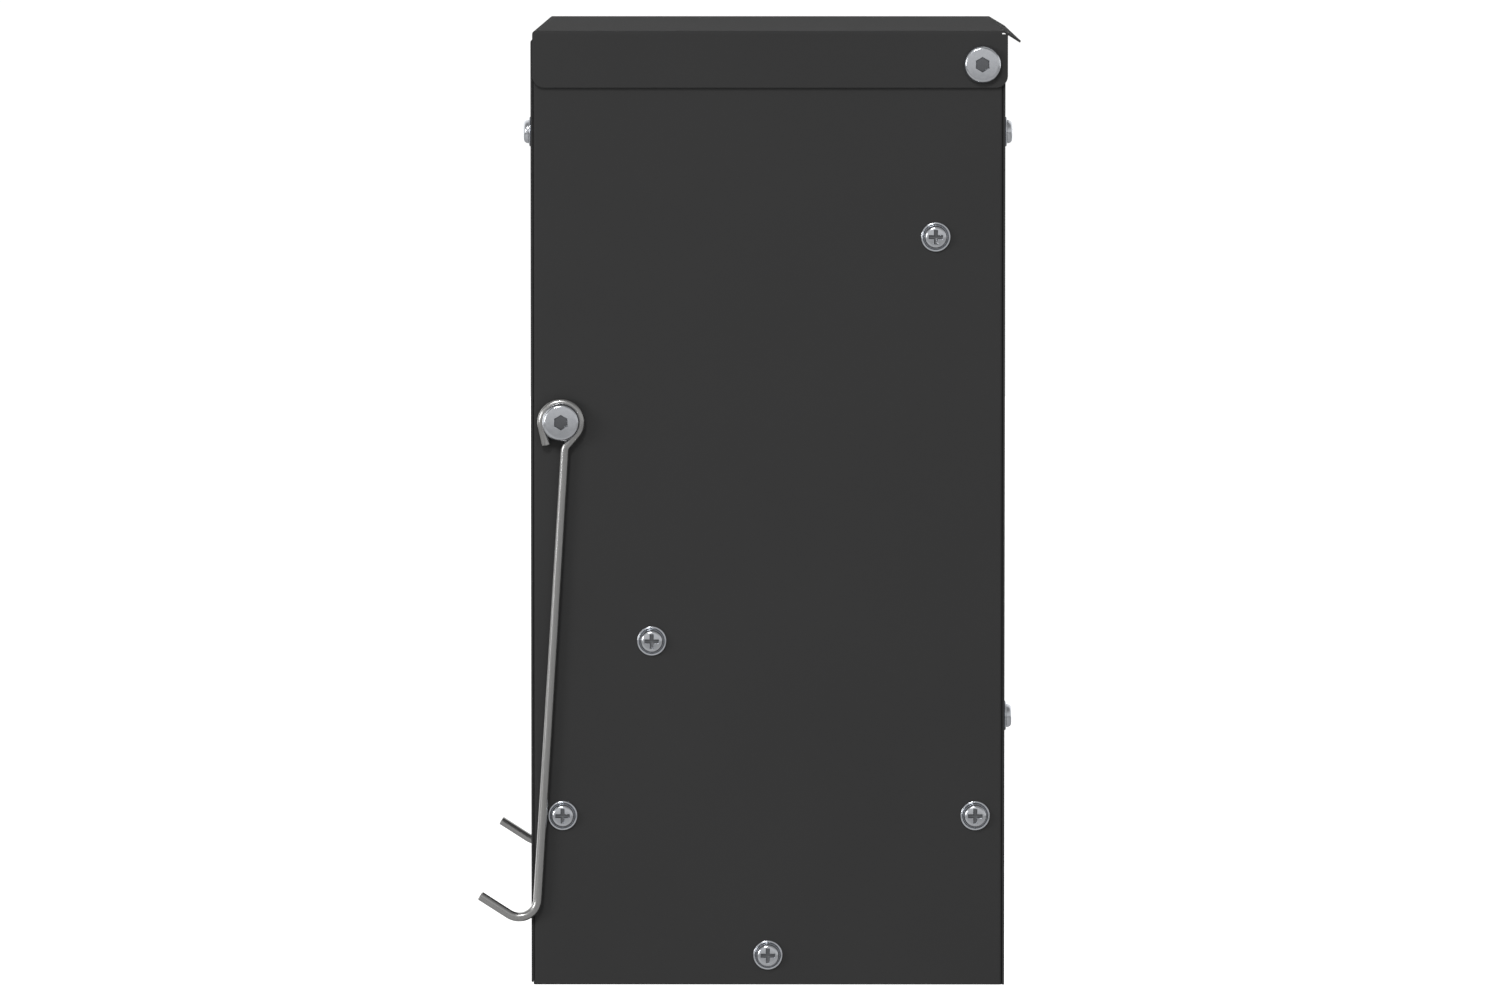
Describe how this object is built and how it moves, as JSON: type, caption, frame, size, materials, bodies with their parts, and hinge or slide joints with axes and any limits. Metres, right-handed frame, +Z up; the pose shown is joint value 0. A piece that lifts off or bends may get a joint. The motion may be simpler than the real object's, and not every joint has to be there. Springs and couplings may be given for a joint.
{
  "type": "wall mounted mailbox",
  "caption": "Tall box mailbox of folded dark sheet metal with a rear-hinged lid, inner chute baffle, front collection door with cam lock, and wire newspaper hooks on the sides.",
  "frame": {"origin": "centre of the four wall holes, on the rear face of the back panel", "axes": "+Y into the wall, +Z up, +X to the right for someone who faces the front of the mailbox"},
  "size_m": [0.3134, 0.2074, 0.365],
  "materials": {
    "powder_coat": "fine matte powder coat, anthracite",
    "hook_wire": "satin drawn wire",
    "zinc_fasteners": "bright zinc plate",
    "lock_plating": "plated",
    "bumper_rubber": "matte"
  },
  "bodies": {
    "cabinet": {"front_panel": "powder_coat", "back_panel": "powder_coat", "bottom_panel": "powder_coat", "side_panel_left": "powder_coat", "side_panel_right": "powder_coat", "baffle": "powder_coat", "side_screws_left": "zinc_fasteners", "side_screws_right": "zinc_fasteners", "side_washers_left": "zinc_fasteners", "side_washers_right": "zinc_fasteners", "side_nuts_left": "zinc_fasteners", "side_nuts_right": "zinc_fasteners", "front_screws": "zinc_fasteners", "front_washers": "zinc_fasteners", "front_nuts": "zinc_fasteners", "rear_screws": "zinc_fasteners", "rear_washers": "zinc_fasteners", "rear_nuts": "zinc_fasteners", "lid_pivot_screws": "zinc_fasteners", "lid_pivot_bushes": "zinc_fasteners", "lid_pivot_nuts": "zinc_fasteners", "hook_pivot_screws": "zinc_fasteners", "hook_pivot_bushes": "zinc_fasteners", "hook_pivot_nuts": "zinc_fasteners", "door_hinge_pin": "zinc_fasteners", "lid_bumpers": "bumper_rubber"},
    "lid": {"lid": "powder_coat"},
    "hook_left": {"newspaper_hook_left": "hook_wire"},
    "hook_right": {"newspaper_hook_right": "hook_wire"},
    "door": {"door": "powder_coat", "lock_barrel": "lock_plating", "lock_nut": "lock_plating"},
    "lock": {"lock_plug": "lock_plating", "lock_cam": "lock_plating", "cam_screw": "zinc_fasteners"}
  },
  "joints": [
    {"name": "lid_hinge", "type": "hinge", "parent": "cabinet", "child": "lid", "pos_m": [0, -0.0088, 0.1572], "axis": [-1, 0, 0], "range_deg": [0, 85]},
    {"name": "hook_left_pivot", "type": "hinge", "parent": "cabinet", "child": "hook_left", "pos_m": [-0.15205, -0.1694, 0.0209], "axis": [-1, 0, 0], "range_deg": [0, 165]},
    {"name": "hook_right_pivot", "type": "hinge", "parent": "cabinet", "child": "hook_right", "pos_m": [0.15205, -0.1694, 0.0209], "axis": [-1, 0, 0], "range_deg": [0, 165]},
    {"name": "door_hinge", "type": "hinge", "parent": "cabinet", "child": "door", "pos_m": [-0.1068, -0.1757, -0.105], "axis": [0, 0, -1], "range_deg": [0, 95]},
    {"name": "lock_turn", "type": "hinge", "parent": "door", "child": "lock", "pos_m": [0.088, -0.175, -0.105], "axis": [0, -1, 0], "range_deg": [0, 90]}
  ]
}
